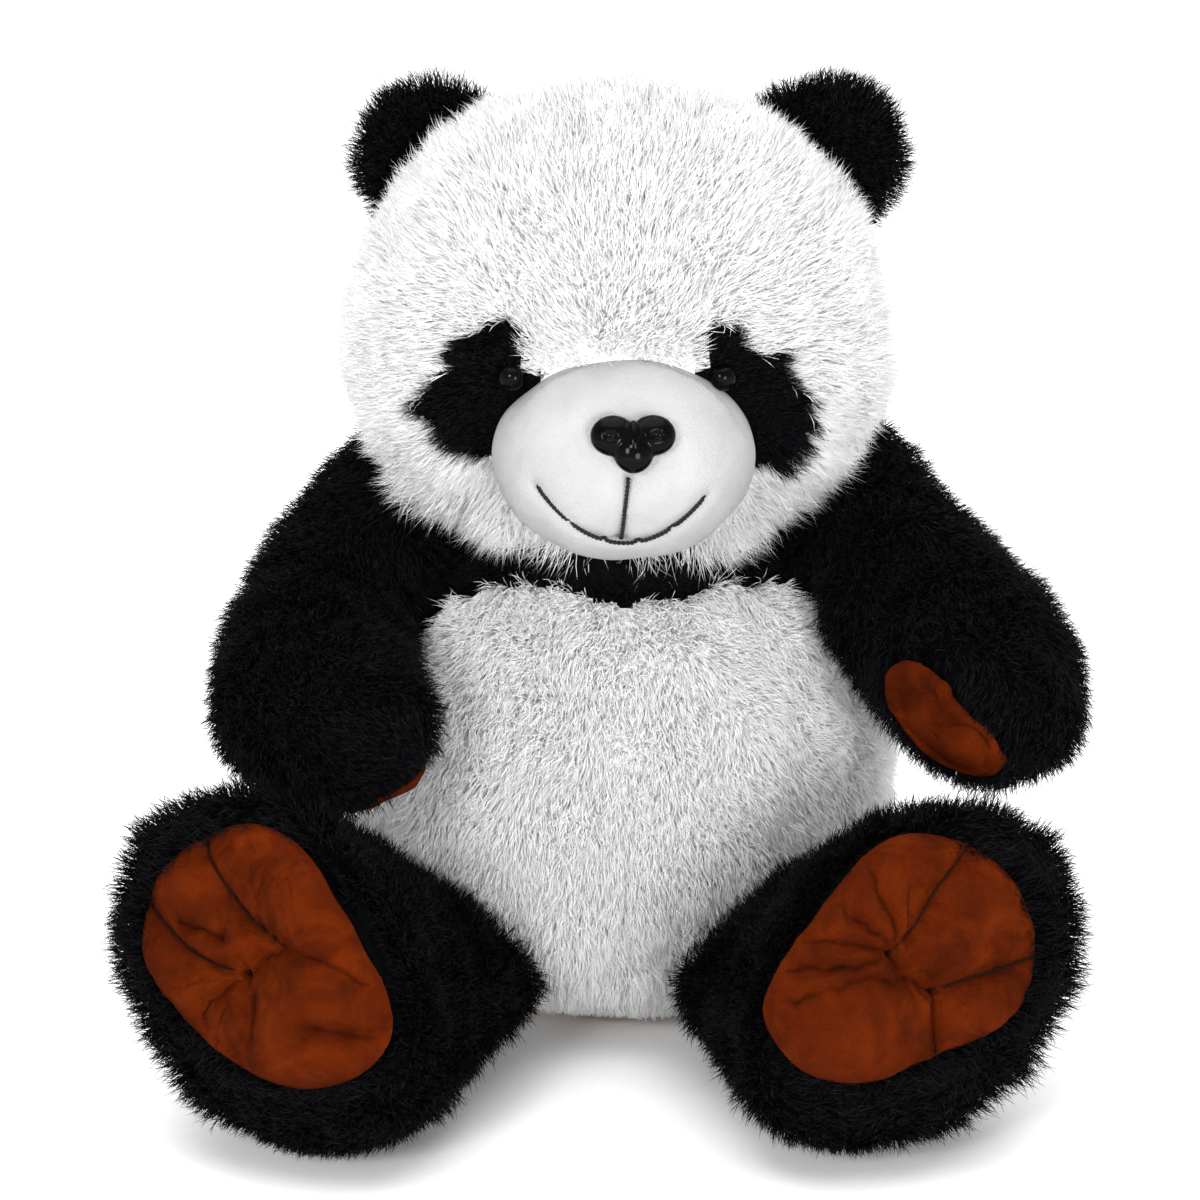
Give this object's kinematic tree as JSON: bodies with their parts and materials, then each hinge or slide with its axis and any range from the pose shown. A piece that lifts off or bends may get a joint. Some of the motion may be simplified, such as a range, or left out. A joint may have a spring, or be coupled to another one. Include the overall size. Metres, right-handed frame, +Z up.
{
  "type": "plush panda",
  "caption": "Seated plush panda with long white and black pile, a smooth muzzle with a glossy plastic nose, brown paw and sole pads, and a soft head, arms and legs that move.",
  "frame": {"origin": "middle of the flat underside that the panda sits on", "axes": "+Z up, -Y the way the panda looks, +X the panda's own left"},
  "size_m": [0.2881, 0.2561, 0.31],
  "materials": {
    "white_pile": "long white pile",
    "black_pile": "long black pile",
    "muzzle_cloth": "short white pile",
    "brown_cloth": "short rust-brown pile",
    "gloss_black": "polished",
    "washer_plastic": "moulded",
    "black_thread": "twisted thread",
    "filling": "loose fibre",
    "pouch_cloth": "plain weave"
  },
  "bodies": {
    "torso": {"seat_panel": "white_pile", "belly_right": "white_pile", "belly_left": "white_pile", "back_right": "white_pile", "back_left": "white_pile", "chest_band": "black_pile", "nape_band": "black_pile", "torso_filling": "filling", "pellet_pouch": "pouch_cloth", "tail": "white_pile"},
    "neck": {"neck_filling": "filling"},
    "head": {"face_right": "white_pile", "eye_patch_right": "black_pile", "head_back_right": "white_pile", "eye_right": "gloss_black", "eye_washer_right": "washer_plastic", "muzzle_right": "muzzle_cloth", "ear_front_right": "black_pile", "ear_back_right": "black_pile", "face_left": "white_pile", "eye_patch_left": "black_pile", "head_back_left": "white_pile", "eye_left": "gloss_black", "eye_washer_left": "washer_plastic", "muzzle_left": "muzzle_cloth", "ear_front_left": "black_pile", "ear_back_left": "black_pile", "head_filling": "filling", "muzzle_filling": "filling", "nose": "gloss_black", "nose_washer": "washer_plastic", "smile_thread": "black_thread", "mouth_line_thread": "black_thread"},
    "arm_right": {"arm_outer_right": "black_pile", "arm_inner_right": "black_pile", "arm_pad_right": "brown_cloth", "arm_filling_right": "filling"},
    "leg_right": {"leg_outer_right": "black_pile", "leg_inner_right": "black_pile", "leg_pad_right": "brown_cloth", "leg_filling_right": "filling", "toe_thread_right_1": "black_thread", "toe_thread_right_2": "black_thread"},
    "arm_left": {"arm_outer_left": "black_pile", "arm_inner_left": "black_pile", "arm_pad_left": "brown_cloth", "arm_filling_left": "filling"},
    "leg_left": {"leg_outer_left": "black_pile", "leg_inner_left": "black_pile", "leg_pad_left": "brown_cloth", "leg_filling_left": "filling", "toe_thread_left_1": "black_thread", "toe_thread_left_2": "black_thread"}
  },
  "joints": [
    {"name": "head_nod", "type": "hinge", "parent": "torso", "child": "neck", "pos_m": [0, -0.01, 0.165], "axis": [1, 0, 0], "range_deg": [-12, 2], "stiffness_Nm_per_rad": 2},
    {"name": "head_turn", "type": "hinge", "parent": "neck", "child": "head", "pos_m": [0, -0.01, 0.165], "axis": [0, 0, 1], "range_deg": [-20, 20], "stiffness_Nm_per_rad": 1},
    {"name": "arm_right_open", "type": "hinge", "parent": "torso", "child": "arm_right", "pos_m": [-0.06, 0.012, 0.168], "axis": [-0.4472, 0, -0.8944], "range_deg": [0, 30], "stiffness_Nm_per_rad": 0.5},
    {"name": "arm_left_open", "type": "hinge", "parent": "torso", "child": "arm_left", "pos_m": [0.06, 0.012, 0.176], "axis": [-0.4472, 0, 0.8944], "range_deg": [0, 30], "stiffness_Nm_per_rad": 0.5},
    {"name": "leg_right_spread", "type": "hinge", "parent": "torso", "child": "leg_right", "pos_m": [-0.04882, -0.04042, 0.02626], "axis": [0, 0, -1], "range_deg": [-4, 12], "stiffness_Nm_per_rad": 0.8},
    {"name": "leg_left_spread", "type": "hinge", "parent": "torso", "child": "leg_left", "pos_m": [0.04528, -0.04118, 0.02648], "axis": [0, 0, 1], "range_deg": [-4, 12], "stiffness_Nm_per_rad": 0.8}
  ]
}
